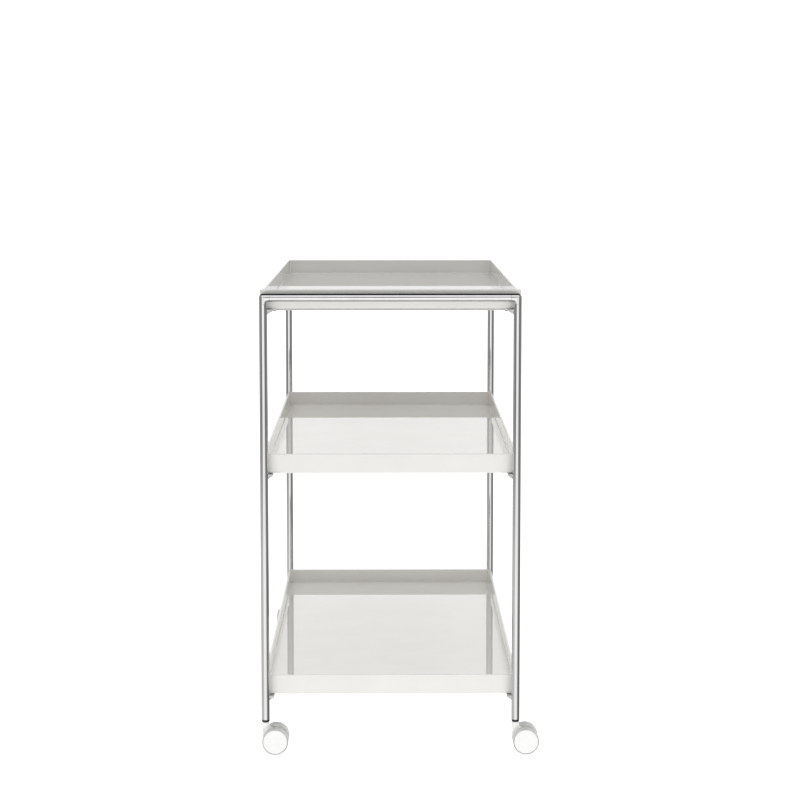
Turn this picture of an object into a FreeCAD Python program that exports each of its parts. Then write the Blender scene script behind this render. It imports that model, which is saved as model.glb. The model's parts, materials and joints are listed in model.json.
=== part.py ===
import FreeCAD, Part
import math
import os

# A three-tier bar cart: two chromed tube end frames, three moulded trays and
# four twin-wheel swivel casters. Millimetres, +Z up. X runs across the cart,
# Y along it, and the origin is on the floor under the middle of the frame.

Vec = FreeCAD.Vector
UP = Vec(0, 0, 1)
ALONG_X = Vec(1, 0, 0)
ALONG_Y = Vec(0, 1, 0)

# Tube frame
frame_width = 400.0        # over the outer faces of the posts, along X
frame_length = 800.0       # over the outer faces of the posts, along Y
frame_top = 712.0          # top of the crossbars above the floor
tube_d = 13.0
tube_wall = 1.5
elbow_leg = 10.0           # corner axis to the end of each elbow leg
spigot_length = 15.0       # reach of an elbow's plug into each tube
seam_chamfer = 0.3         # bevel that shows where tube and elbow meet

# Trays
tray_height = 30.0
tray_wall = 4.0
tray_floor = 3.0
foot_recess = 2.0          # floor underside above the skirt's lower edge
tray_side_inset = 4.5      # tray side in from the posts' outer faces
tray_tube_gap = 1.5        # between a tray's end and the tubes beside it
corner_radius = 8.0
rim_round = 1.4
foot_round = 1.5
floor_round = 1.2
rib_width = 2.0
ribs_along = 3
ribs_across = 7
top_rim_above_bar = 5.4
middle_rim = 464.3         # rim height above the floor
bottom_rim = 118.2
bead_height = 12.0         # end bead on the front of the top tray
bead_depth = 5.0
bead_side_inset = 0.5      # bead end in from the posts' outer faces

# Lugs, straps and screws
lug_thickness = 3.0
lug_reach = 7.0            # past the post's inner side
lug_front = 3.0            # past the post axis, away from the tray
gusset_drop = 6.0
screw_inset_x = 9.0        # tray screw in from the post axis
screw_inset_y = 16.0
lug_edge = 6.0             # lug metal beyond the screw
screw_d = 4.0
screw_head_d = 8.0
screw_head_height = 2.2
screw_bite = 4.0           # thread length inside the tray
pad_wall = 3.0             # plastic round a screw, under the floor
strap_thickness = 2.4
strap_depth = 12.0
strap_screw_inset = 3.0    # in from the strap's end
strap_screw_d = 2.5
strap_head_d = 5.0
strap_head_height = 1.6
drive_share = 0.5          # hex recess across corners, as a share of a screw head

# Casters
wheel_d = 40.0
wheel_width = 17.0
hub_d = 36.0
tread_round = 1.5
hub_dome = 0.8             # how far the wheel face bulges
hub_rim_wall = 2.0
hub_boss_d = 11.0
hub_web = 5.0              # wall between the wheel face and the inner hollow
axle_d = 5.0
axle_clearance = 0.05      # radial, wheel on axle
axle_short = 2.5           # axle end inside the wheel face
body_width = 9.4           # housing between the wheels
wheel_side_gap = 0.8       # between housing and wheel
body_disc_d = 28.0
trail = 15.5               # swivel axis to wheel axis
neck_d = 11.0
neck_height = 6.3          # housing top above the wheels
swivel_gap = 0.3           # under the socket flange, and under the stem
stem_d = 7.0
stem_clearance = 0.05      # radial, housing on stem
stem_seat = 25.0           # lowest point of the stem's bore above the floor
socket_flange_d = 12.0
socket_flange = 3.7
socket_length = 32.0
socket_roof = 3.0          # plastic above the stem
ring_width = 1.6
ring_depth = 0.6
ring_split = 1.5
ring_below_top = 8.0

# Each caster: its corner as X and Y sign, and the way it trails, in degrees from +X
casters = {
    "front_left": (-1, -1, 0.0),
    "front_right": (1, -1, 0.0),
    "rear_left": (-1, 1, 263.0),
    "rear_right": (1, 1, 180.0),
}

# Places that follow from the sizes above
tube_r = tube_d / 2
tube_bore = tube_d - 2 * tube_wall
post_x = frame_width / 2 - tube_r
post_y = frame_length / 2 - tube_r
bar_z = frame_top - tube_r
housing_top = wheel_d + neck_height
flange_bottom = housing_top + swivel_gap
post_bottom = flange_bottom + socket_flange
top_rim = frame_top + top_rim_above_bar
half_width = frame_width / 2 - tray_side_inset
half_length = frame_length / 2 - tube_d - tray_tube_gap
lug_inner_x = post_x - tube_r - lug_reach
screw_x = post_x - screw_inset_x
screw_y = post_y - screw_inset_y
strap_screw_x = lug_inner_x - strap_screw_inset
strap_screw_y = half_length - strap_depth / 2
wheel_r = wheel_d / 2
wheel_inner = body_width / 2 + wheel_side_gap
wheel_outer = wheel_inner + wheel_width
axle_end = wheel_outer - hub_web / 2 - axle_short
socket_top = flange_bottom + socket_length
stem_top = socket_top - socket_roof
ring_z = stem_top - ring_below_top

trays = {"top": top_rim, "middle": middle_rim, "bottom": bottom_rim}


def rod(diameter, length, start, direction=UP):
    return Part.makeCylinder(diameter / 2, length, start, direction)


def block(a, b):
    """Box between two opposite corners, given in any order."""
    low = Vec(min(a.x, b.x), min(a.y, b.y), min(a.z, b.z))
    return Part.makeBox(abs(a.x - b.x), abs(a.y - b.y), abs(a.z - b.z), low)


def prism(points, depth):
    """Flat outline of points pushed along a vector."""
    return Part.Face(Part.makePolygon(points + points[:1])).extrude(depth)


def circle_edges(shape, radius, centre=None):
    """Full circles of one radius: all of them, or the one about a given centre."""
    rings = [e for e in shape.Edges if e.isClosed() and isinstance(e.Curve, Part.Circle)]
    rings = [e for e in rings if abs(e.Curve.Radius - radius) < 1e-6]
    if centre is None:
        return rings
    return [e for e in rings if e.Curve.Center.distanceToPoint(centre) < 1e-6]


def corner_signs():
    return [(sx, sy) for _, (sx, sy, _) in casters.items()]


# ---------------------------------------------------------------- end frames

def tube(length, start, direction):
    outer = rod(tube_d, length, start, direction)
    outer = outer.makeChamfer(seam_chamfer, circle_edges(outer, tube_r))
    return outer.cut(rod(tube_bore, length, start, direction))


def post(sx, sy):
    start = Vec(sx * post_x, sy * post_y, post_bottom)
    return tube(bar_z - elbow_leg - post_bottom, start, UP)


def crossbar(sy):
    start = Vec(-post_x + elbow_leg, sy * post_y, bar_z)
    return tube(2 * (post_x - elbow_leg), start, ALONG_X)


def elbow(sx, sy):
    """Ball corner with two short legs, and a plug beyond each leg."""
    corner = Vec(sx * post_x, sy * post_y, bar_z)
    body = Part.makeSphere(tube_r, corner)
    for direction in (Vec(-sx, 0, 0), Vec(0, 0, -1)):
        leg = rod(tube_d, elbow_leg, corner, direction)
        leg_end = corner + direction * elbow_leg
        leg = leg.makeChamfer(seam_chamfer, circle_edges(leg, tube_r, leg_end))
        body = body.fuse(leg)
        body = body.fuse(rod(tube_bore, elbow_leg + spigot_length, corner, direction))
    return body.removeSplitter()


# --------------------------------------------------------------------- trays

def rounded_slab(half_x, half_y, radius, low, high):
    slab = block(Vec(-half_x, -half_y, low), Vec(half_x, half_y, high))
    upright = [e for e in slab.Edges if abs(e.BoundBox.ZLength - (high - low)) < 1e-6]
    return slab.makeFillet(radius, upright)


def flat_edges(shape, z):
    return [e for e in shape.Edges
            if e.BoundBox.ZLength < 1e-6 and abs(e.BoundBox.ZMin - z) < 1e-6]


def tray_shell(rim_z):
    """Rounded slab hollowed from above, with a shallow recess below."""
    foot = rim_z - tray_height
    floor_top = foot + foot_recess + tray_floor
    inner_x = half_width - tray_wall
    inner_y = half_length - tray_wall
    inner_radius = corner_radius - tray_wall
    shell = rounded_slab(half_width, half_length, corner_radius, foot, rim_z)
    shell = shell.makeFillet(foot_round, flat_edges(shell, foot))
    hollow = rounded_slab(inner_x, inner_y, inner_radius, floor_top, rim_z + rim_round)
    hollow = hollow.makeFillet(floor_round, flat_edges(hollow, floor_top))
    recess = rounded_slab(inner_x, inner_y, inner_radius, foot, foot + foot_recess)
    shell = shell.cut(hollow)
    shell = shell.makeFillet(rim_round, flat_edges(shell, rim_z))
    return shell.cut(recess)


def floor_ribs(rim_z):
    """Grid of low ribs in the recess under a tray floor."""
    foot = rim_z - tray_height
    top = foot + foot_recess
    inner_x = half_width - tray_wall
    inner_y = half_length - tray_wall
    ribs = []
    for i in range(1, ribs_along + 1):
        x = -inner_x + i * 2 * inner_x / (ribs_along + 1)
        ribs.append(block(Vec(x - rib_width / 2, -inner_y, foot),
                          Vec(x + rib_width / 2, inner_y, top)))
    for i in range(1, ribs_across + 1):
        y = -inner_y + i * 2 * inner_y / (ribs_across + 1)
        ribs.append(block(Vec(-inner_x, y - rib_width / 2, foot),
                          Vec(inner_x, y + rib_width / 2, top)))
    return ribs


def screw_places():
    return [(sx * screw_x, sy * screw_y) for sx, sy in corner_signs()]


def strap_screw_places():
    return [(sx * strap_screw_x, sy * strap_screw_y) for sx, sy in corner_signs()]


def front_bead():
    """Raised edge on the top tray's front end, as wide as the end frame."""
    half = frame_width / 2 - bead_side_inset
    bead = block(Vec(-half, -half_length, top_rim - bead_height),
                 Vec(half, -half_length + bead_depth, top_rim))
    return bead.makeFillet(rim_round, bead.Edges)


def tray(rim_z, with_straps):
    foot = rim_z - tray_height
    body = tray_shell(rim_z)
    pads = [(x, y, screw_d) for x, y in screw_places()]
    if with_straps:
        pads += [(x, y, strap_screw_d) for x, y in strap_screw_places()]
        body = body.fuse(front_bead())
    extras = floor_ribs(rim_z)
    for x, y, d in pads:
        extras.append(rod(d + 2 * pad_wall, foot_recess, Vec(x, y, foot)))
    body = body.fuse(extras)
    for x, y, d in pads:
        body = body.cut(rod(d, screw_bite, Vec(x, y, foot)))
    return body.removeSplitter()


# ------------------------------------------------------ lugs, straps, screws

def lug(sx, sy, rim_z):
    """Tab under a tray corner with a slanted gusset, welded to the post."""
    top = rim_z - tray_height
    low = top - lug_thickness
    inner_y = screw_y - lug_edge
    tab = block(Vec(sx * post_x, sy * (post_y + lug_front), low),
                Vec(sx * lug_inner_x, sy * inner_y, top))
    back = sy * post_y - lug_thickness / 2
    gusset = prism([Vec(sx * post_x, back, low), Vec(sx * lug_inner_x, back, low),
                    Vec(sx * (post_x - tube_r), back, low - gusset_drop),
                    Vec(sx * post_x, back, low - gusset_drop)],
                   Vec(0, lug_thickness, 0))
    body = tab.fuse(gusset).removeSplitter()
    post_space = rod(tube_d, 4 * gusset_drop, Vec(sx * post_x, sy * post_y, low - 2 * gusset_drop))
    body = body.cut(post_space)
    return body.cut(rod(screw_d, lug_thickness, Vec(sx * screw_x, sy * screw_y, low)))


def strap(sy):
    top = top_rim - tray_height
    low = top - strap_thickness
    bar = block(Vec(-lug_inner_x, sy * half_length, low),
                Vec(lug_inner_x, sy * (half_length - strap_depth), top))
    for x, y in strap_screw_places():
        bar = bar.cut(rod(strap_screw_d, strap_thickness, Vec(x, y, low)))
    return bar


def screw(x, y, seat_z, grip, d, head_d, head_height):
    """Pan-head screw driven upwards, with a hexagon recess in its head."""
    crown = Vec(x, y, seat_z - head_height)
    head = rod(head_d, head_height, crown)
    head = head.makeFillet(head_height / 3, circle_edges(head, head_d / 2, crown))
    drive_r = head_d * drive_share / 2
    corners = [crown + Vec(drive_r * math.cos(math.radians(60 * i)),
                           drive_r * math.sin(math.radians(60 * i)), 0) for i in range(6)]
    head = head.cut(prism(corners, Vec(0, 0, head_height / 2)))
    return head.fuse(rod(d, grip + screw_bite, Vec(x, y, seat_z))).removeSplitter()


def tray_screws(rim_z):
    seat = rim_z - tray_height - lug_thickness
    return [screw(x, y, seat, lug_thickness, screw_d, screw_head_d, screw_head_height)
            for x, y in screw_places()]


def strap_screws():
    seat = top_rim - tray_height - strap_thickness
    return [screw(x, y, seat, strap_thickness, strap_screw_d, strap_head_d, strap_head_height)
            for x, y in strap_screw_places()]


# ------------------------------------------------------------------- casters
# Each caster piece is made with its swivel axis on the Z axis and its wheels
# behind it on +X, then turned and moved to its post.

def socket():
    flange = rod(socket_flange_d, socket_flange, Vec(0, 0, flange_bottom))
    flange = flange.makeChamfer(seam_chamfer, circle_edges(flange, socket_flange_d / 2))
    plug = rod(tube_bore, socket_length, Vec(0, 0, flange_bottom))
    bore = rod(stem_d, socket_length - socket_roof, Vec(0, 0, flange_bottom))
    return flange.fuse(plug).removeSplitter().cut(bore)


def ring_space():
    outer = rod(stem_d, ring_width, Vec(0, 0, ring_z))
    return outer.cut(rod(stem_d - 2 * ring_depth, ring_width, Vec(0, 0, ring_z)))


def stem():
    bottom = stem_seat + swivel_gap
    return rod(stem_d, stem_top - bottom, Vec(0, 0, bottom)).cut(ring_space())


def grip_ring():
    slit = block(Vec(0, -ring_split / 2, ring_z), Vec(stem_d, ring_split / 2, ring_z + ring_width))
    return ring_space().cut(slit)


def housing():
    """Neck round the stem, and a narrow body that carries the axle."""
    neck_low = wheel_d - tread_round
    half = body_width / 2
    neck = rod(neck_d, housing_top - neck_low, Vec(0, 0, neck_low))
    neck_top = Vec(0, 0, housing_top)
    neck = neck.makeFillet(seam_chamfer * 2, circle_edges(neck, neck_d / 2, neck_top))
    core = rod(body_width, neck_low - wheel_r, Vec(0, 0, wheel_r))
    disc = rod(body_disc_d, body_width, Vec(trail, -half, wheel_r), ALONG_Y)
    web = prism([Vec(0, -half, wheel_r), Vec(trail, -half, wheel_r),
                 Vec(trail, -half, wheel_r + body_disc_d / 2), Vec(0, -half, neck_low)],
                Vec(0, body_width, 0))
    body = neck.fuse([core, disc, web]).removeSplitter()
    stem_bore = rod(stem_d + 2 * stem_clearance, housing_top - stem_seat, Vec(0, 0, stem_seat))
    axle_bore = rod(axle_d, body_width, Vec(trail, -half, wheel_r), ALONG_Y)
    return body.cut(stem_bore).cut(axle_bore)


def axle():
    return rod(axle_d, 2 * axle_end, Vec(trail, -axle_end, wheel_r), ALONG_Y)


def wheel_hub(side):
    """Disc with a domed face outside, and hollow round a boss inside."""
    start = Vec(trail, side * wheel_inner, wheel_r)
    direction = Vec(0, side, 0)
    hub_r = hub_d / 2
    dome_r = (hub_r ** 2 + hub_dome ** 2) / (2 * hub_dome)
    hub = rod(hub_d, wheel_width, start, direction)
    hub = hub.common(Part.makeSphere(dome_r, start + direction * (wheel_width - dome_r)))
    hollow_depth = wheel_width - hub_dome - hub_web
    hollow = rod(hub_d - 2 * hub_rim_wall, hollow_depth, start, direction)
    hollow = hollow.cut(rod(hub_boss_d, hollow_depth, start, direction))
    bore_depth = axle_end + swivel_gap - wheel_inner
    bore = rod(axle_d + 2 * axle_clearance, bore_depth, start, direction)
    return hub.cut(hollow).cut(bore)


def wheel_tyre(side):
    start = Vec(trail, side * wheel_inner, wheel_r)
    direction = Vec(0, side, 0)
    tyre = rod(wheel_d, wheel_width - hub_dome, start, direction)
    tyre = tyre.makeFillet(tread_round, circle_edges(tyre, wheel_r))
    return tyre.cut(rod(hub_d, wheel_width, start, direction))


def at_corner(shape, sx, sy, trail_angle):
    moved = shape.copy()
    moved.rotate(Vec(0, 0, 0), UP, trail_angle)
    moved.translate(Vec(sx * post_x, sy * post_y, 0))
    return moved


# ------------------------------------------------------------------ assembly

def build():
    nodes = {}
    for sy, end in ((-1, "front"), (1, "rear")):
        nodes[end + "_crossbar"] = crossbar(sy)
        nodes[end + "_strap"] = strap(sy)
    for level, rim_z in trays.items():
        nodes[level + "_tray"] = tray(rim_z, level == "top")
        nodes[level + "_tray_lugs"] = [lug(sx, sy, rim_z) for sx, sy in corner_signs()]
        nodes[level + "_tray_screws"] = tray_screws(rim_z)
    nodes["strap_screws"] = strap_screws()
    nodes["stem_grip_rings"] = [at_corner(grip_ring(), *c) for c in casters.values()]
    for corner, (sx, sy, angle) in casters.items():
        nodes[corner + "_post"] = post(sx, sy)
        nodes[corner + "_elbow"] = elbow(sx, sy)
        pieces = {"socket": socket(), "stem": stem(), "housing": housing(), "axle": axle()}
        for letter, side in (("a", -1), ("b", 1)):
            pieces["hub_" + letter] = wheel_hub(side)
            pieces["tyre_" + letter] = wheel_tyre(side)
        for piece, shape in pieces.items():
            nodes[corner + "_" + piece] = at_corner(shape, sx, sy, angle)
    return nodes


def main():
    os.makedirs("parts", exist_ok=True)
    for name, made in build().items():
        solids = made if isinstance(made, list) else made.Solids
        whole = Part.makeCompound(solids)
        if not whole.isValid() or not solids:
            raise ValueError(name + " isn't a valid solid")
        whole.exportStep(os.path.join("parts", name + ".step"))
        box = whole.BoundBox
        print(f"{name}: {len(solids)} solids, {whole.Volume / 1000:.2f} cm3, "
              f"{box.XLength:.1f} x {box.YLength:.1f} x {box.ZLength:.1f}")


main()
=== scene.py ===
import json
import math

import bmesh
import bpy
from mathutils import Matrix, Vector

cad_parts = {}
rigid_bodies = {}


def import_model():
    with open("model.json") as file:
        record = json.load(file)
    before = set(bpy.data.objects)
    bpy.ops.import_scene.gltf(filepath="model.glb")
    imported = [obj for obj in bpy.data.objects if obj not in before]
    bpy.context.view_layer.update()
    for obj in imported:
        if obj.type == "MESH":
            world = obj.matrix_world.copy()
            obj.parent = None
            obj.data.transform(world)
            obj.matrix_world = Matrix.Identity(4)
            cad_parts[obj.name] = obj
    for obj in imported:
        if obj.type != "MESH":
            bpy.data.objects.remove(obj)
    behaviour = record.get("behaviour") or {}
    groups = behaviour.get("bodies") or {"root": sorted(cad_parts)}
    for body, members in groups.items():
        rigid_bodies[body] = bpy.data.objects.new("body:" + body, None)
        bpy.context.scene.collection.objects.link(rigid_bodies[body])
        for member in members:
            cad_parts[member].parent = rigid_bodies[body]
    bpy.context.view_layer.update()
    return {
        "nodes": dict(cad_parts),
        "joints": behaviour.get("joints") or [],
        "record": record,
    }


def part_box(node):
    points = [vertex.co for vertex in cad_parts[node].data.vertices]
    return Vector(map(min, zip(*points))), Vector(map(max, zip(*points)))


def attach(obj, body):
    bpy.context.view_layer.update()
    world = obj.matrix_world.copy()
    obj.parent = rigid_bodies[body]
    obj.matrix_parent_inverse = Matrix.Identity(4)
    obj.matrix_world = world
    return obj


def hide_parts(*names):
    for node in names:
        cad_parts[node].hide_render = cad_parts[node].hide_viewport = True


# %% [markdown]
# # A bar cart on wheels
# The cart is three white moulded trays between two end frames of chromed tube,
# on four small twin-wheel casters. The design model already has every part in
# its right place and size, so it's loaded first and nothing in it is moved.
# Each new piece below is built on the box of the part that it stands for.

# %% Load the frame
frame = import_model()
MM = 0.001
body_of_node = {node: body
                for body, nodes in frame["record"]["behaviour"]["bodies"].items()
                for node in nodes}
joints = {joint["name"]: joint for joint in frame["joints"]}
CORNERS = ("front_left", "front_right", "rear_left", "rear_right")
ENDS = ("front", "rear")
LEVELS = ("top", "middle", "bottom")

# %% [markdown]
# ## Camera
# The cart is seen from one short end, from a little above the top tray. A long
# lens from far away keeps the posts almost parallel. The camera could look
# level with a big lens shift, but then every other view would be off centre,
# so it tilts down a few degrees and the shift stays small.

# %% Camera
CAMERA_PLACE = (-0.0040, -3.4109, 0.9379)
CAMERA_TILT = 5.512          # degrees below level
CAMERA_TURN = -0.352         # degrees to the left of +Y
camera_data = bpy.data.cameras.new("end_view")
camera_data.sensor_width = 36
camera_data.lens = 89.644
camera_data.shift_y = -0.08
camera = bpy.data.objects.new("end_view", camera_data)
camera.location = CAMERA_PLACE
camera.rotation_euler = (math.radians(90 - CAMERA_TILT), 0, math.radians(CAMERA_TURN))
bpy.context.scene.collection.objects.link(camera)
bpy.context.scene.camera = camera
bpy.context.scene.view_settings.view_transform = "Standard"
print("camera at", CAMERA_PLACE, "with a lens of", camera_data.lens, "mm")

# %% [markdown]
# ## Two small helpers for nodes and colours
# Materials and the studio are made of shader nodes. Adding them by hand takes
# many lines, so one function adds a node, sets it up and links its inputs.
# Colours are written as the hex values a paint chart gives. Blender works in
# linear light, so another function converts them.

# %% Node and colour helpers
def add_node(tree, kind, inputs=None, **settings):
    """Adds a node; inputs maps a socket's name or number to a value or an output."""
    node = tree.nodes.new(kind)
    for name, value in settings.items():
        setattr(node, name, value)
    for socket, value in (inputs or {}).items():
        if isinstance(value, bpy.types.NodeSocket):
            tree.links.new(value, node.inputs[socket])
        else:
            node.inputs[socket].default_value = value
    return node


def linear(hex_colour):
    """An sRGB hex colour as linear red, green, blue and alpha."""
    channels = [int(hex_colour[i:i + 2], 16) / 255 for i in (0, 2, 4)]
    return [c / 12.92 if c <= 0.04045 else ((c + 0.055) / 1.055) ** 2.4
            for c in channels] + [1.0]


def set_ramp(node, stops):
    """Fills a colour ramp with greys: (position, level) pairs."""
    ramp = node.color_ramp
    while len(ramp.elements) > 1:
        ramp.elements.remove(ramp.elements[-1])
    for i, (place, level) in enumerate(stops):
        element = ramp.elements[0] if i == 0 else ramp.elements.new(place)
        element.position = place
        element.color = (level, level, level, 1)


print("linear value of mid grey:", round(linear("808080")[0], 3))

# %% [markdown]
# ## Studio light
# Chrome shows nothing but its surroundings, so the room matters more than the
# lamps. This room is a white sweep behind the cart, a pale floor, one soft
# window above the camera and dark flags on both sides and overhead, which draw
# the dark lines on the tubes. Real flags would stand in the way of other views,
# so the room is drawn in the world: one ramp goes round the horizon, the other
# from front over the top to the back. The backdrop that the lens sees is white.

# %% World
ROOM_LEVEL = 1.8             # the ramps hold shares of this brightness
world = bpy.data.worlds.new("studio")
bpy.context.scene.world = world
world.use_nodes = True
tree = world.node_tree
tree.nodes.clear()
where = add_node(tree, "ShaderNodeTexCoord").outputs["Generated"]
axes = add_node(tree, "ShaderNodeSeparateXYZ", {0: where}).outputs
towards = add_node(tree, "ShaderNodeMath", {0: axes[1], 1: -1.0},
                   operation="MULTIPLY").outputs[0]


def ring_ramp(sideways, stops):
    """A ramp round the camera's side: stops are (degrees, brightness)."""
    angle = add_node(tree, "ShaderNodeMath", {0: sideways, 1: towards}, operation="ARCTAN2")
    share = add_node(tree, "ShaderNodeMapRange", {0: angle.outputs[0], 1: -math.pi, 2: math.pi})
    ramp = add_node(tree, "ShaderNodeValToRGB", {0: share.outputs[0]})
    set_ramp(ramp, [((degrees + 180) / 360, level / ROOM_LEVEL) for degrees, level in stops])
    return ramp.outputs[0]


low_horizon = ring_ramp(axes[0], [
    (-180, 1.25), (-150, 0.95), (-118, 0.68), (-92, 0.68), (-56, 0.68), (-40, 0.82),
    (-27, 1.20), (-12, 1.70), (8, 1.70), (28, 1.15), (42, 0.50), (58, 0.27), (78, 0.18),
    (104, 0.15), (125, 0.50), (150, 1.10), (180, 1.25)])
level_horizon = ring_ramp(axes[0], [
    (-180, 1.20), (-155, 0.80), (-110, 0.40), (-88, 0.42), (-72, 0.36), (-60, 0.20),
    (-48, 0.20), (-34, 0.50), (-14, 1.55), (10, 1.65), (28, 0.75), (42, 0.24), (62, 0.20),
    (84, 0.30), (110, 0.40), (150, 0.95), (180, 1.20)])
lowness = add_node(tree, "ShaderNodeMapRange", {0: axes[2], 1: -0.13, 2: -0.22},
                   interpolation_type="SMOOTHSTEP").outputs[0]
round_horizon = add_node(tree, "ShaderNodeMix",
                         {0: lowness, 6: level_horizon, 7: low_horizon},
                         data_type="RGBA").outputs[2]
over_top = ring_ramp(axes[2], [
    (-180, 1.20), (-140, 0.75), (-105, 0.60), (-70, 0.62), (-48, 1.50), (-30, 1.50),
    (-12, 1.10), (-5, 0.90), (4, 0.30), (25, 0.30), (34, 1.65), (53, 1.65), (64, 0.08),
    (142, 0.01), (150, 1.38), (168, 1.38), (176, 0.95), (180, 0.90)])
side_size = add_node(tree, "ShaderNodeMath", {0: axes[0]}, operation="ABSOLUTE").outputs[0]
up_size = add_node(tree, "ShaderNodeMath", {0: axes[2]}, operation="ABSOLUTE").outputs[0]
sum_size = add_node(tree, "ShaderNodeMath", {0: side_size, 1: up_size}).outputs[0]
sideness = add_node(tree, "ShaderNodeMath", {0: side_size, 1: sum_size},
                    operation="DIVIDE").outputs[0]
sideness = add_node(tree, "ShaderNodeMapRange", {0: sideness, 1: 0.35, 2: 0.65},
                    interpolation_type="SMOOTHSTEP").outputs[0]
room = add_node(tree, "ShaderNodeMix", {0: sideness, 6: over_top, 7: round_horizon},
                data_type="RGBA").outputs[2]
mirrored = add_node(tree, "ShaderNodeBackground", {0: room, 1: ROOM_LEVEL}).outputs[0]

soft = add_node(tree, "ShaderNodeValToRGB", {
    0: add_node(tree, "ShaderNodeMapRange", {0: axes[2], 1: -1.0, 2: 1.0}).outputs[0]})
set_ramp(soft, [(0.0, 0.72), (0.46, 0.70), (0.53, 0.36), (0.64, 0.34), (0.80, 0.68), (1.0, 1.0)])
ambient = add_node(tree, "ShaderNodeBackground", {0: soft.outputs[0], 1: 1.0}).outputs[0]
sweep = add_node(tree, "ShaderNodeBackground", {0: (1, 1, 1, 1), 1: 1.3}).outputs[0]

ray = add_node(tree, "ShaderNodeLightPath").outputs
lit = add_node(tree, "ShaderNodeMixShader", {0: ray["Is Glossy Ray"], 1: ambient, 2: mirrored})
seen = add_node(tree, "ShaderNodeMixShader", {0: ray["Is Camera Ray"], 1: lit.outputs[0], 2: sweep})
add_node(tree, "ShaderNodeOutputWorld", {0: seen.outputs[0]})
print("world nodes:", len(tree.nodes))

# %% [markdown]
# The faces near the camera are brighter than those at the far end, because the
# soft boxes stand close to the front. Two large area lights do that, one each
# side of the camera. The pairs at the sides and behind keep the other faces
# bright, and stand low, so that they barely reach the tray floors.
# They only light: the world already holds the bright shapes that the chrome
# mirrors, so the lights are hidden from reflections.

# %% Soft boxes
AIM_AHEAD, AIM_HEIGHT = 0.3, 0.45    # each box aims at a point inside the cart, in metres


def soft_box(name, place, watts):
    light = bpy.data.lights.new(name, "AREA")
    light.shape = "RECTANGLE"
    light.size, light.size_y = 1.2, 0.5
    light.energy = watts
    box = bpy.data.objects.new(name, light)
    box.location = place
    aim = Vector((0, math.copysign(AIM_AHEAD, place[1]), AIM_HEIGHT)) - box.location
    box.rotation_euler = aim.to_track_quat("-Z", "Y").to_euler()
    box.visible_glossy = box.visible_camera = False
    bpy.context.scene.collection.objects.link(box)


for side in (-1, 1):
    soft_box("front_soft_box", (side * 1.2, -1.9, 0.05), 9.6)
    soft_box("side_soft_box", (side * 2.6, 0.2, 0.00), 14.0)
    soft_box("back_soft_box", (side * 1.3, 2.5, 0.05), 9.5)
print("soft boxes: 6")

# %% [markdown]
# The floor is a sheet of glossy white acrylic, the kind that's used under
# small products. It glows a little, as such a sheet does when it is lit from
# below, so the object's own shadow on it stays faint.

# %% Floor
floor_mesh = bpy.data.meshes.new("floor")
bm = bmesh.new()
bmesh.ops.create_grid(bm, x_segments=2, y_segments=2, size=30)
bm.to_mesh(floor_mesh)
bm.free()
floor = bpy.data.objects.new("floor", floor_mesh)
bpy.context.scene.collection.objects.link(floor)
floor_finish = bpy.data.materials.new("white_acrylic_sheet")
floor_finish.use_nodes = True
tree = floor_finish.node_tree
sheet = tree.nodes["Principled BSDF"]
for socket, value in {"Base Color": (0.25, 0.25, 0.25, 1), "Roughness": 0.03,
                      "Emission Color": (1, 1, 1, 1), "Emission Strength": 0.84}.items():
    sheet.inputs[socket].default_value = value
floor_mesh.materials.append(floor_finish)
floor.visible_glossy = floor.visible_diffuse = floor.visible_shadow = False
print("floor across:", floor.dimensions.x, "m")

# %% [markdown]
# ## Materials
# Every finish here is smooth to the hand, yet none is perfectly even. Moulded
# plastic has a faint ripple called orange peel, plated tube keeps fine polishing
# lines, and both pick up a little dust and handling that dulls the gloss in
# patches. One recipe fits all: noise in real millimetres that changes the
# roughness and the colour a touch, and a low bump. Only the numbers differ.

# %% Finish recipe
def finish(name, colour, shade, gloss, patch_mm, ripple_mm, ripple_height_mm,
           stretch=(1, 1, 1), metal=0.0, ior=1.5):
    """A material: colour drifts to shade, and roughness between the two gloss values."""
    material = bpy.data.materials.new(name)
    material.use_nodes = True
    tree = material.node_tree
    shader = tree.nodes["Principled BSDF"]
    place = add_node(tree, "ShaderNodeTexCoord").outputs["Object"]
    stretched = add_node(tree, "ShaderNodeMapping", {0: place, 3: stretch}).outputs[0]
    patches = add_node(tree, "ShaderNodeTexNoise",
                       {"Vector": stretched, "Scale": 1 / (patch_mm * MM), "Detail": 4.0,
                        "Roughness": 0.6}).outputs[0]
    ripples = add_node(tree, "ShaderNodeTexNoise",
                       {"Vector": stretched, "Scale": 1 / (ripple_mm * MM), "Detail": 2.0,
                        "Roughness": 0.5}).outputs[0]
    drift = add_node(tree, "ShaderNodeMapRange", {0: patches, 1: 0.35, 2: 0.7}).outputs[0]
    tint = add_node(tree, "ShaderNodeMix",
                    {0: drift, 6: linear(colour), 7: linear(shade)}, data_type="RGBA").outputs[2]
    dull = add_node(tree, "ShaderNodeMapRange",
                    {0: patches, 1: 0.35, 2: 0.7, 3: gloss[0], 4: gloss[1]}).outputs[0]
    bump = add_node(tree, "ShaderNodeBump", {"Height": ripples, "Strength": 1.0,
                                             "Distance": ripple_height_mm * MM}).outputs[0]
    for socket, source in (("Base Color", tint), ("Roughness", dull), ("Normal", bump)):
        tree.links.new(source, shader.inputs[socket])
    shader.inputs["Metallic"].default_value = metal
    if not metal:
        shader.inputs["IOR"].default_value = ior
    return material


print("finish recipe ready")

# %% [markdown]
# Chrome plate on steel tube is a cold, slightly dark mirror. The plate is buffed
# along the tube, so its faint lines run the long way: the noise is stretched
# along Z. The pressed lugs and straps carry the same plate over a rougher sheet,
# and the screws and axles are zinc plated, which is greyer and never mirrors.

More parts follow.
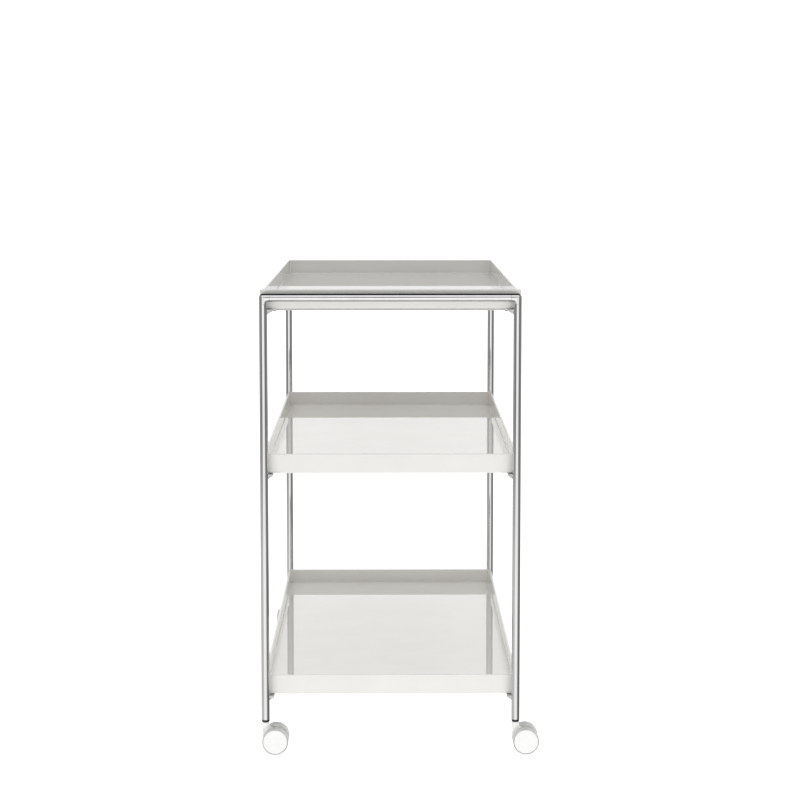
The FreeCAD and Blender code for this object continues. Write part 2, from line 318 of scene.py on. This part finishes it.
# %% Metals
chrome = finish("chrome_plated_tube", "D9D9D8", "D1D1D1", (0.035, 0.07), 18, 2.2, 0.0006,
                stretch=(1, 1, 0.12), metal=1.0)
pressed_chrome = finish("chrome_plated_sheet", "BFBFBE", "AEAEAE", (0.16, 0.28), 9, 1.2,
                        0.004, metal=1.0)
zinc = finish("zinc_plated_steel", "B4B7B9", "9DA1A5", (0.30, 0.44), 3, 0.7, 0.008, metal=1.0)
print("metals:", chrome.name, pressed_chrome.name, zinc.name)

# %% [markdown]
# The trays are high-gloss ABS, a warm white. Moulded against a polished steel
# face, it mirrors the room at flat angles almost like glass, with a very weak
# orange peel a few millimetres wide. The caster wheels are nylon, colder and
# more satin. Their treads are a soft pale grey elastomer with almost no gloss,
# and the sockets are black nylon with a fine moulded grain.

# %% Plastics
tray_white = finish("gloss_moulded_abs", "F1F0EC", "EEECE8", (0.012, 0.035), 90, 7, 0.0003,
                    ior=1.52)
nylon_white = finish("satin_moulded_nylon", "FCFCFB", "F7F7F5", (0.28, 0.38), 12, 0.9, 0.003,
                     ior=1.53)
tread_grey = finish("soft_moulded_elastomer", "DADAD8", "CDCDCB", (0.55, 0.72), 6, 0.8, 0.010,
                    ior=1.48)
socket_black = finish("black_moulded_nylon", "151516", "202021", (0.34, 0.50), 5, 0.6, 0.006,
                      ior=1.53)
print("plastics:", tray_white.name, nylon_white.name, tread_grey.name, socket_black.name)

# %% [markdown]
# ## From a mesh to a piece
# A new shape is worked on in a bmesh and then has to become an object that
# stands for its design part: doubles merged, faces turned outwards, smooth
# shading with crisp edges kept, one material, and the body that it rides on.
# Two more helpers cover most of the shapes: one turns an outline round an axis,
# as a lathe does, and one cuts or joins closed shapes with a Boolean modifier.

# %% Piece helpers
def tidy(bm):
    """Merges doubles and turns all faces outwards."""
    bmesh.ops.remove_doubles(bm, verts=bm.verts, dist=0.002 * MM)
    bmesh.ops.recalc_face_normals(bm, faces=bm.faces)


def make_piece(bm, name, material, slot, *nodes, sharp_angle=35):
    """Makes an object of the bmesh, in place of the design's nodes."""
    mesh = bpy.data.meshes.new(name)
    bm.to_mesh(mesh)
    bm.free()
    mesh.materials.append(material)
    mesh.shade_smooth()
    mesh.set_sharp_from_angle(angle=math.radians(sharp_angle))
    piece = bpy.data.objects.new(name, mesh)
    bpy.context.scene.collection.objects.link(piece)
    even = piece.modifiers.new("even_shading", "WEIGHTED_NORMAL")
    even.weight, even.keep_sharp = 90, True
    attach(piece, body_of_node[nodes[0]])
    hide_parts(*nodes)
    return piece


def turned(outline, steps, rounding=(), closed=True):
    """A bmesh turned round the Z axis from (radius, height) points in mm.
    rounding holds (point number, radius in mm) pairs."""
    bm = bmesh.new()
    points = [bm.verts.new((r * MM, 0, z * MM)) for r, z in outline]
    for a, b in zip(points, points[1:] + points[:1] if closed else points[1:]):
        bm.edges.new((a, b))
    for number, radius in rounding:
        bmesh.ops.bevel(bm, geom=[points[number]], offset=radius * MM, offset_type="OFFSET",
                        segments=4, profile=0.5, affect="VERTICES", material=-1)
    bmesh.ops.spin(bm, geom=list(bm.verts) + list(bm.edges), cent=(0, 0, 0), axis=(0, 0, 1),
                   dvec=(0, 0, 0), angle=2 * math.pi, steps=steps, use_merge=True)
    tidy(bm)
    return bm


def brick(low, high, rounding=0.0, segments=3):
    """A bmesh box between two corners in mm, all its edges rounded."""
    low, high = Vector(low) * MM, Vector(high) * MM
    bm = bmesh.new()
    size = Matrix.Diagonal((*(high - low), 1))
    bmesh.ops.create_cube(bm, size=1, matrix=Matrix.Translation((low + high) / 2) @ size)
    if rounding:
        bmesh.ops.bevel(bm, geom=bm.edges, offset=rounding * MM, offset_type="OFFSET",
                        segments=segments, profile=0.5, affect="EDGES", material=-1)
    tidy(bm)
    return bm


def moved(bm, matrix):
    bmesh.ops.transform(bm, matrix=matrix, verts=bm.verts)
    return bm


def along(start, direction):
    """The matrix that lays the Z axis along a direction from a start, in mm."""
    turn = Vector(direction).to_track_quat("Z", "Y").to_matrix().to_4x4()
    return Matrix.Translation(Vector(start) * MM) @ turn


def combine(operation, base, *tools):
    """UNION or DIFFERENCE of closed bmeshes. The result is a new bmesh."""
    mesh = bpy.data.meshes.new("base")
    base.to_mesh(mesh)
    base.free()
    whole = bpy.data.objects.new("base", mesh)
    helpers = bpy.data.collections.new("helpers")
    bpy.context.scene.collection.objects.link(whole)
    for tool in tools:
        tool_mesh = bpy.data.meshes.new("tool")
        tool.to_mesh(tool_mesh)
        tool.free()
        helpers.objects.link(bpy.data.objects.new("tool", tool_mesh))
    cut = whole.modifiers.new("combine", "BOOLEAN")
    cut.operation, cut.solver, cut.use_self = operation, "EXACT", True
    cut.operand_type, cut.collection = "COLLECTION", helpers
    depsgraph = bpy.context.evaluated_depsgraph_get()
    result = bmesh.new()
    result.from_mesh(whole.evaluated_get(depsgraph).to_mesh())
    for helper in list(helpers.objects) + [whole]:
        bpy.data.objects.remove(helper)
    bpy.data.collections.remove(helpers)
    bmesh.ops.remove_doubles(result, verts=result.verts, dist=0.002 * MM)
    return result


def node_box(node):
    """Lowest and highest corner of a design part, in mm."""
    low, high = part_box(node)
    return low / MM, high / MM


print("piece helpers ready")

# %% [markdown]
# ## Tube frame
# Each end frame is four cut lengths: two posts, a crossbar and two corner
# elbows. A tube is a ring of metal turned round its axis, open inside, with its
# ends slightly eased. Where two eased ends meet, they leave the hairline seam
# that tells a fitted elbow from a bent tube.

# %% Posts and crossbars
TUBE_WALL = 1.5
SEAM_EASE = 0.3              # rounding of each cut end, in mm
TUBE_STEPS = 96


def tube(name, start, direction, length, radius):
    bore = radius - TUBE_WALL
    bm = turned([(bore, 0), (radius, 0), (radius, length), (bore, length)], TUBE_STEPS,
                rounding=[(1, SEAM_EASE), (2, SEAM_EASE)])
    return make_piece(moved(bm, along(start, direction)), name + "_tube", chrome,
                      "chromed_tube", name, sharp_angle=50)


for corner in CORNERS:
    low, high = node_box(corner + "_post")
    middle = (low + high) / 2
    tube(corner + "_post", (middle.x, middle.y, low.z), (0, 0, 1), high.z - low.z,
         (high.x - low.x) / 2)
for end in ENDS:
    low, high = node_box(end + "_crossbar")
    middle = (low + high) / 2
    tube(end + "_crossbar", (low.x, middle.y, middle.z), (1, 0, 0), high.x - low.x,
         (high.z - low.z) / 2)
print("tubes:", len(CORNERS) + len(ENDS))

# %% [markdown]
# An elbow is mitred inside and round outside. It could be two cylinders and a
# ball, but they'd cut through each other. Here one leg is cut off at the mitre
# plane and mirrored, and the outer half of the gap is closed by spinning the
# half ring that's left round the corner, so the surface stays one clean skin.

# %% Elbows
SPIGOT = 15.0                # how far an elbow's plug reaches into each tube


def elbow(corner):
    post_low, post_high = node_box(corner + "_post")
    bar_low, bar_high = node_box(corner.split("_")[0] + "_crossbar")
    post_middle, bar_middle = (post_low + post_high) / 2, (bar_low + bar_high) / 2
    radius = (bar_high.z - bar_low.z) / 2
    leg = bar_middle.z - post_high.z
    side = 1 if post_middle.x > 0 else -1
    rings = [(radius, 0), (radius, leg - SEAM_EASE), (radius - SEAM_EASE, leg),
             (radius - TUBE_WALL, leg), (radius - TUBE_WALL, leg + SPIGOT)]
    bm = bmesh.new()
    # The leg points along +X from the corner, which is at the origin for now.
    bmesh.ops.create_circle(bm, segments=TUBE_STEPS, radius=radius * MM,
                            matrix=Matrix.Rotation(math.radians(90), 4, "Y"))
    edges = list(bm.edges)
    for (r_before, x_before), (r, x) in zip(rings, rings[1:]):
        grown = bmesh.ops.extrude_edge_only(bm, edges=edges)["geom"]
        verts = [v for v in grown if isinstance(v, bmesh.types.BMVert)]
        edges = [e for e in grown if isinstance(e, bmesh.types.BMEdge)]
        bmesh.ops.translate(bm, vec=((x - x_before) * MM, 0, 0), verts=verts)
        share = r / r_before
        bmesh.ops.scale(bm, vec=(1, share, share), verts=verts)
    bmesh.ops.holes_fill(bm, edges=edges)
    mitre = Vector((1, 0, 1)).normalized()
    bmesh.ops.bisect_plane(bm, geom=list(bm.verts) + list(bm.edges) + list(bm.faces),
                           dist=1e-7, plane_co=(0, 0, 0), plane_no=mitre, clear_inner=True)
    flip = Matrix.Identity(4)
    flip[0][0] = flip[2][2] = 0
    flip[0][2] = flip[2][0] = -1
    twin = bmesh.ops.duplicate(bm, geom=list(bm.verts) + list(bm.edges) + list(bm.faces))
    bmesh.ops.transform(bm, matrix=flip,
                        verts=[v for v in twin["geom"] if isinstance(v, bmesh.types.BMVert)])
    arc = [e for e in bm.edges if e.is_boundary
           and all(abs(v.co.x) < 1e-7 and v.co.z > -1e-7 for v in e.verts)]
    points = list({v for e in arc for v in e.verts})
    bmesh.ops.spin(bm, geom=points + arc, cent=(0, 0, 0), axis=(0, 1, 0), dvec=(0, 0, 0),
                   angle=-math.pi / 2, steps=24)
    # Mirrored for the right-hand corners, where the leg points the other way.
    place = Matrix.Translation(Vector((post_middle.x, post_middle.y, bar_middle.z)) * MM)
    moved(bm, place @ Matrix.Diagonal((-side, 1, 1, 1)))
    tidy(bm)
    return make_piece(bm, corner + "_elbow_fitting", chrome, "chromed_tube", corner + "_elbow",
                      sharp_angle=50)


elbows = [elbow(corner) for corner in CORNERS]
print("elbows:", len(elbows), "with", len(elbows[0].data.polygons), "faces each")

# %% [markdown]
# ## Trays
# A tray is one moulding: upright rim, flat floor, and a shallow recess with
# ribs below. The same order of steps as in a mould drawing works here: a block,
# its upright corners rounded, the top face inset by the wall and pushed down,
# the bottom face inset and pushed up. Then the rim, foot and floor edges get
# their small radii, because a sharp edge would catch no light.

# %% Tray shapes
TRAY_WALL, TRAY_FLOOR, FOOT_RECESS = 4.0, 3.0, 2.0
CORNER_RADIUS, RIM_ROUND, FOOT_ROUND, FLOOR_ROUND = 8.0, 1.4, 1.5, 1.2
RIB_WIDTH, RIBS_ALONG, RIBS_ACROSS = 2.0, 3, 7
RIB_GAP = 0.02               # keeps the ribs' faces clear of the tray's own foot
PAD_WALL, SCREW_BITE, OVERLAP = 3.0, 4.0, 0.5
BEAD_HEIGHT, BEAD_DEPTH, BEAD_REACH = 12.0, 5.0, 4.0
TRAY_SCREW_D, TRAY_SCREW_HEAD = 4.0, 8.0
STRAP_SCREW_D, STRAP_SCREW_HEAD = 2.5, 5.0


def flat_loop(bm, z, chosen):
    """Edges that lie at one height, in mm, and pass a test."""
    found = [e for e in bm.edges if all(abs(v.co.z - z * MM) < 1e-6 for v in e.verts)]
    return [e for e in found if chosen(e)]


def face_at(bm, z, up):
    """The widest face at a height that faces up or down."""
    found = [f for f in bm.faces if abs(f.calc_center_median().z - z * MM) < 1e-6
             and f.normal.z * up > 0.99]
    return max(found, key=lambda f: f.calc_area())


def tray_body(low, high):
    """The moulding without ribs: low and high are the corners of its box in mm."""
    bm = brick(low, high)
    upright = [e for e in bm.edges if abs(e.verts[0].co.z - e.verts[1].co.z) > MM]
    bmesh.ops.bevel(bm, geom=upright, offset=CORNER_RADIUS * MM, offset_type="OFFSET",
                    segments=10, profile=0.5, affect="EDGES", material=-1)
    floor_z = low[2] + FOOT_RECESS + TRAY_FLOOR
    for start_z, end_z, up in ((high[2], floor_z, 1), (low[2], low[2] + FOOT_RECESS, -1)):
        face = face_at(bm, start_z, up)
        bmesh.ops.inset_region(bm, faces=[face], thickness=TRAY_WALL * MM, use_even_offset=True)
        grown = bmesh.ops.extrude_face_region(bm, geom=[face])["geom"]
        bmesh.ops.delete(bm, geom=[face], context="FACES_ONLY")
        bmesh.ops.translate(bm, vec=(0, 0, (end_z - start_z) * MM),
                            verts=[v for v in grown if isinstance(v, bmesh.types.BMVert)])
    tidy(bm)
    outer_x, outer_y = high[0] * MM - 1e-5, high[1] * MM - 1e-5

    def on_outside(edge):
        return not all(abs(v.co.x) < outer_x - TRAY_WALL * MM * 0.9
                       and abs(v.co.y) < outer_y - TRAY_WALL * MM * 0.9 for v in edge.verts)

    def wall_edge(edge):
        return edge.calc_face_angle(0) > 1.0

    for z, radius, test in ((high[2], RIM_ROUND, wall_edge),
                            (low[2], FOOT_ROUND, lambda e: wall_edge(e) and on_outside(e)),
                            (floor_z, FLOOR_ROUND, wall_edge)):
        bmesh.ops.bevel(bm, geom=flat_loop(bm, z, test), offset=radius * MM,
                        offset_type="OFFSET", segments=4, profile=0.5, affect="EDGES",
                        material=-1)
    tidy(bm)
    return bm


def rod(diameter, length, start, direction=(0, 0, 1), steps=48):
    """A turned pin that runs a length from a start, in mm."""
    r = diameter / 2
    bm = turned([(0, 0), (r, 0), (r, length), (0, length)], steps, closed=False)
    return moved(bm, along(start, direction))


print("tray shapes ready")

# %% [markdown]
# Under the floor a grid of low ribs keeps the tray flat, and a round pad takes
# each screw. They're separate closed shapes until a Boolean union melts them
# into the moulding, and a second Boolean drills the screw holes. The top tray
# also has a bead along its front edge, as wide as the frame, that covers the
# corners. The screw places come from the boxes of the screws themselves.

# %% Trays
def screw_places(node, head):
    """Centres in X and Y of a node's four screws, at the cart's corners, in mm."""
    low, high = node_box(node)
    return [(x, y) for x in (low.x + head / 2, high.x - head / 2)
            for y in (low.y + head / 2, high.y - head / 2)]


def tray(level):
    node = level + "_tray"
    low, high = node_box(node)
    half_x = high.x if level != "top" else high.x - BEAD_REACH
    low, high = Vector((-half_x, low.y, low.z)), Vector((half_x, high.y, high.z))
    inner_x, inner_y = half_x - TRAY_WALL, high.y - TRAY_WALL
    top = low.z + FOOT_RECESS + OVERLAP
    joined = []
    for i in range(1, RIBS_ALONG + 1):
        x = -inner_x + i * 2 * inner_x / (RIBS_ALONG + 1)
        joined.append(brick((x - RIB_WIDTH / 2, -inner_y - 1, low.z + RIB_GAP),
                            (x + RIB_WIDTH / 2, inner_y + 1, top)))
    for i in range(1, RIBS_ACROSS + 1):
        y = -inner_y + i * 2 * inner_y / (RIBS_ACROSS + 1)
        joined.append(brick((-inner_x - 1, y - RIB_WIDTH / 2, low.z + 2 * RIB_GAP),
                            (inner_x + 1, y + RIB_WIDTH / 2, top)))
    pads = [(x, y, TRAY_SCREW_D) for x, y in screw_places(node + "_screws", TRAY_SCREW_HEAD)]
    if level == "top":
        pads += [(x, y, STRAP_SCREW_D) for x, y in screw_places("strap_screws", STRAP_SCREW_HEAD)]
        joined.append(brick((-half_x - BEAD_REACH, low.y, high.z - BEAD_HEIGHT),
                            (half_x + BEAD_REACH, low.y + BEAD_DEPTH, high.z), RIM_ROUND, 4))
    joined += [rod(d + 2 * PAD_WALL, FOOT_RECESS + OVERLAP, (x, y, low.z)) for x, y, d in pads]
    whole = combine("UNION", tray_body(low, high), *joined)
    drilled = combine("DIFFERENCE", whole,
                      *[rod(d, SCREW_BITE + 1, (x, y, low.z - 1), steps=24) for x, y, d in pads])
    return make_piece(drilled, level + "_tray_moulding", tray_white, "tray_plastic", node)


for level in LEVELS:
    made = tray(level)
    print(made.name, len(made.data.polygons), "faces")

# %% [markdown]
# ## Lugs and straps
# Each tray corner stands on a small chromed lug welded to its post: a flat tab
# with a slanted gusset under it. They're pressed from sheet, so their edges are
# barely rounded. Two thin straps stiffen the ends of the top tray.

# %% Lugs and straps
LUG_THICKNESS, LUG_REACH, LUG_FRONT, LUG_EDGE, GUSSET_DROP = 3.0, 7.0, 3.0, 6.0, 4.8
SHEET_ROUND = 0.35


def wedge(points, y, thickness):
    """A flat outline in X and Z, pushed along Y and its edges eased."""
    bm = bmesh.new()
    face = bm.faces.new([bm.verts.new(Vector((x, y, z)) * MM) for x, z in points])
    grown = bmesh.ops.extrude_face_region(bm, geom=[face])["geom"]
    bmesh.ops.translate(bm, vec=(0, thickness * MM, 0),
                        verts=[v for v in grown if isinstance(v, bmesh.types.BMVert)])
    tidy(bm)
    bmesh.ops.bevel(bm, geom=bm.edges, offset=SHEET_ROUND * MM, offset_type="OFFSET",
                    segments=2, profile=0.5, affect="EDGES", material=-1)
    return bm


def merged(shapes):
    """Several bmeshes in one."""
    whole = bmesh.new()
    for shape in shapes:
        mesh = bpy.data.meshes.new("shape")
        shape.to_mesh(mesh)
        shape.free()
        whole.from_mesh(mesh)
        bpy.data.meshes.remove(mesh)
    return whole


def lug(post_low, post_high, tray_low, screw):
    centre = (post_low + post_high) / 2
    radius = (post_high.x - post_low.x) / 2
    side, end = math.copysign(1, centre.x), math.copysign(1, centre.y)
    inner_x = centre.x - side * (radius + LUG_REACH)
    xs = sorted((centre.x, inner_x))
    ys = sorted((centre.y + end * LUG_FRONT, screw[1] - end * LUG_EDGE))
    low = tray_low - LUG_THICKNESS
    tab = brick((xs[0], ys[0], low), (xs[1], ys[1], tray_low), SHEET_ROUND, 2)
    gusset = wedge([(centre.x, low + 1), (inner_x + side * 0.5, low + 1), (inner_x, low),
                    (centre.x - side * radius, low - GUSSET_DROP),
                    (centre.x, low - GUSSET_DROP)], centre.y - LUG_THICKNESS / 2, LUG_THICKNESS)
    body = combine("UNION", tab, gusset)
    return combine("DIFFERENCE", body,
                   rod(2 * radius, 40, (centre.x, centre.y, low - 20), steps=TUBE_STEPS),
                   rod(TRAY_SCREW_D, 8, (screw[0], screw[1], low - 2), steps=24))


for level in LEVELS:
    tray_low = node_box(level + "_tray")[0].z
    screws = screw_places(level + "_tray_screws", TRAY_SCREW_HEAD)
    lugs = []
    for corner in CORNERS:
        post_low, post_high = node_box(corner + "_post")
        nearest = min(screws, key=lambda s: abs(s[0] - post_low.x) + abs(s[1] - post_low.y))
        lugs.append(lug(post_low, post_high, tray_low, nearest))
    made = make_piece(merged(lugs), level + "_lug_plates", pressed_chrome, "chromed_steel",
                      level + "_tray_lugs")
    print(made.name, len(made.data.polygons), "faces")

for end in ENDS:
    low, high = node_box(end + "_strap")
    holes = [place for place in screw_places("strap_screws", STRAP_SCREW_HEAD)
             if low.y < place[1] < high.y]
    bm = combine("DIFFERENCE", brick(low, high, SHEET_ROUND, 2),
                 *[rod(STRAP_SCREW_D, 8, (x, y, low.z - 2), steps=24) for x, y in holes])
    make_piece(bm, end + "_strap_bar", pressed_chrome, "chromed_steel", end + "_strap")
print("straps:", len(ENDS))

# %% [markdown]
# ## Casters
# A black nylon socket plugs each post, and its flange shows as a dark foot with
# a rounded lower edge. Under it a white housing turns on a steel stem between
# two wheels. Socket, wheels and treads are all round, so each is one outline
# turned on a lathe. Their places come from the joints that they turn on.

# %% Sockets
SOCKET_BORE, SOCKET_ROOF, FLANGE = 7.0, 3.0, 3.7
for corner in CORNERS:
    low, high = node_box(corner + "_socket")
    height, flange_r = high.z - low.z, (high.x - low.x) / 2
    post_low, post_high = node_box(corner + "_post")
    plug_r = (post_high.x - post_low.x) / 2 - TUBE_WALL
    bm = turned([(0, height), (plug_r, height), (plug_r, FLANGE), (flange_r, FLANGE),
                 (flange_r, 0), (SOCKET_BORE / 2, 0), (SOCKET_BORE / 2, height - SOCKET_ROOF),
                 (0, height - SOCKET_ROOF)], 72,
                rounding=[(1, 0.6), (3, 0.25), (4, 1.3), (5, 0.3)], closed=False)
    middle = (low + high) / 2
    make_piece(moved(bm, along((middle.x, middle.y, low.z), (0, 0, 1))),
               corner + "_socket_plug", socket_black, "black_nylon", corner + "_socket")
print("sockets:", len(CORNERS))

# %% [markdown]
# A wheel is a nylon hub with a slightly domed face and a hollow back, and a
# soft tread pressed over its rim. The fine groove between the two shows as a
# grey ring round the white face, so both edges are eased where they meet.

# %% Wheels
HUB_R, WHEEL_R, WHEEL_WIDTH, DOME = 18.0, 20.0, 17.0, 0.8
HUB_WALL, HUB_WEB, HUB_BORE, BOSS_R, AXLE_R = 2.0, 5.0, 12.3, 5.5, 2.55
WHEEL_STEPS = 96
LIP_R, LIP, RIM_RECESS = 18.6, 1.4, 2.0   # the hub's face laps over the tread's seat
GROOVE_WIDTH, GROOVE_DEPTH = 0.6, 2.4     # between hub and tread, at the wheel face


def dome(radius, rise, points):
    """Outline of a shallow dome from its edge to its crown, above its edge."""
    ball = (radius ** 2 + rise ** 2) / (2 * rise)
    spread = [radius * (1 - i / points) for i in range(points + 1)]
    return [(r, math.sqrt(ball ** 2 - r ** 2) - ball + rise) for r in spread]


def hub(bore_depth):
    edge_z = WHEEL_WIDTH - DOME
    back = edge_z - HUB_WEB
    outline = [(0, bore_depth), (AXLE_R, bore_depth), (AXLE_R, 0), (BOSS_R, 0), (BOSS_R, back),
               (HUB_R - HUB_WALL, back), (HUB_R - HUB_WALL, RIM_RECESS), (HUB_R, RIM_RECESS),
               (HUB_R, edge_z - LIP), (LIP_R, edge_z - LIP)]
    edge = len(outline)
    outline += [(r, z + edge_z) for r, z in dome(LIP_R, DOME, 7)]
    return turned(outline, WHEEL_STEPS, closed=False,
                  rounding=[(edge, 0.5), (3, 0.3), (4, 0.8), (5, 0.8), (6, 0.3)])


def tyre():
    width = WHEEL_WIDTH - DOME
    groove_r, groove_z = LIP_R + GROOVE_WIDTH, width - GROOVE_DEPTH
    return turned([(HUB_R, 0), (WHEEL_R, 0), (WHEEL_R, width), (groove_r, width),
                   (groove_r, groove_z), (HUB_R, groove_z)], WHEEL_STEPS,
                  rounding=[(1, 1.4), (2, 0.5), (3, 0.15)])


for corner in CORNERS:
    for letter in "ab":
        joint = joints[f"{corner}_spin_{letter}"]
        centre = Vector(joint["pos_m"]) / MM
        low, high = node_box(f"{corner}_hub_{letter}")
        reach = ((low + high) / 2 - centre) @ Vector(joint["axis"])
        out = Vector(joint["axis"]) * math.copysign(1, reach)
        start = centre + out * (abs(reach) - WHEEL_WIDTH / 2)
        place = along(start, out)
        make_piece(moved(hub(HUB_BORE), place), f"{corner}_wheel_{letter}", nylon_white,
                   "caster_plastic", f"{corner}_hub_{letter}", sharp_angle=40)
        make_piece(moved(tyre(), place), f"{corner}_tread_{letter}", tread_grey,
                   "soft_tread", f"{corner}_tyre_{letter}", sharp_angle=40)
print("wheels:", 2 * len(CORNERS))

# %% [markdown]
# The housing is a round neck over the stem that runs down into a flat body
# between the wheels. The body's outline is the hull round a disc at the axle
# and a bar at the neck, pushed out to its width and eased. Boolean cuts then
# drill it for the stem and the axle, so that nothing passes through plastic.

# %% Housings
BODY_WIDTH, BODY_DISC_R, BODY_ROUND = 9.4, 14.0, 0.9
NECK_BACK, NECK_FRONT = -4.7, 5.2    # reach of the body's bar, behind and ahead of the stem
WAIST_BACK, WAIST, SHOULDER = -4.0, 3.0, 5.0    # where it leaves the disc, above the axle
NECK_R, NECK_TAPER, NECK_DROP, NECK_BELOW = 5.5, 1.4, 1.5, 3.0
STEM_BORE, STEM_SEAT, AXLE_D = 7.1, 25.0, 5.0


def housing_body(trail, neck_low):
    bm = bmesh.new()
    bmesh.ops.create_cone(bm, cap_ends=True, segments=64, radius1=BODY_DISC_R * MM,
                          radius2=BODY_DISC_R * MM, depth=BODY_WIDTH * MM,
                          matrix=Matrix.Translation(Vector((trail, 0, WHEEL_R)) * MM)
                          @ Matrix.Rotation(math.radians(90), 4, "X"))
    for y in (-BODY_WIDTH / 2, BODY_WIDTH / 2):
        for x, z in ((WAIST_BACK, WHEEL_R + WAIST), (NECK_BACK, WHEEL_R + SHOULDER),
                     (NECK_BACK, neck_low), (NECK_FRONT, neck_low)):
            bm.verts.new(Vector((x, y, z)) * MM)
    hull = bmesh.ops.convex_hull(bm, input=bm.verts)
    inner = set(hull["geom_interior"] + hull["geom_unused"])
    bmesh.ops.delete(bm, geom=[g for g in inner if isinstance(g, bmesh.types.BMVert)],
                     context="VERTS")
    bmesh.ops.dissolve_limit(bm, angle_limit=math.radians(1), verts=bm.verts, edges=bm.edges)
    tidy(bm)
    rim = [e for e in bm.edges if e.calc_face_angle(0) > math.radians(60)
           and abs(e.verts[0].co.y - e.verts[1].co.y) < 1e-6]
    bmesh.ops.bevel(bm, geom=rim, offset=BODY_ROUND * MM, offset_type="OFFSET", segments=3,
                    profile=0.5, affect="EDGES", material=-1)
    tidy(bm)
    return bm


for corner in CORNERS:
    swivel = Vector(joints[corner + "_swivel"]["pos_m"]) / MM
    axle = Vector(joints[corner + "_spin_a"]["pos_m"]) / MM
    trail_way = Vector((axle.x - swivel.x, axle.y - swivel.y, 0))
    top = node_box(corner + "_housing")[1].z
    neck_low = 2 * WHEEL_R - NECK_DROP
    neck = turned([(0, neck_low - NECK_BELOW), (NECK_R - NECK_TAPER, neck_low - NECK_BELOW),
                   (NECK_R, neck_low), (NECK_R, top), (0, top)], 72,
                  rounding=[(2, 0.8), (3, 0.7)], closed=False)
    body = combine("UNION", housing_body(trail_way.length, neck_low), neck)
    body = combine("DIFFERENCE", body,
                   rod(STEM_BORE, top, (0, 0, STEM_SEAT)),
                   rod(AXLE_D, 20, (trail_way.length, -10, WHEEL_R), (0, 1, 0)))
    place = (Matrix.Translation(Vector((swivel.x, swivel.y, 0)) * MM)
             @ Matrix.Rotation(math.atan2(trail_way.y, trail_way.x), 4, "Z"))
    made = make_piece(moved(body, place), corner + "_caster_body", nylon_white,
                      "caster_plastic", corner + "_housing")
    print(made.name, len(made.data.polygons), "faces")

# %% [markdown]
# ## Small steel parts
# Screws, stems, axles and the split rings are already right in the design
# model. They stay as they are and only get their zinc-plated finish.

# %% Steel parts
kept = [corner + part for corner in CORNERS for part in ("_stem", "_axle")]
kept += ["strap_screws", "stem_grip_rings"] + [level + "_tray_screws" for level in LEVELS]
for name in kept:
    node = frame["nodes"][name]
    node.data.materials.clear()
    node.data.materials.append(zinc)
print("parts kept from the design:", len(kept))
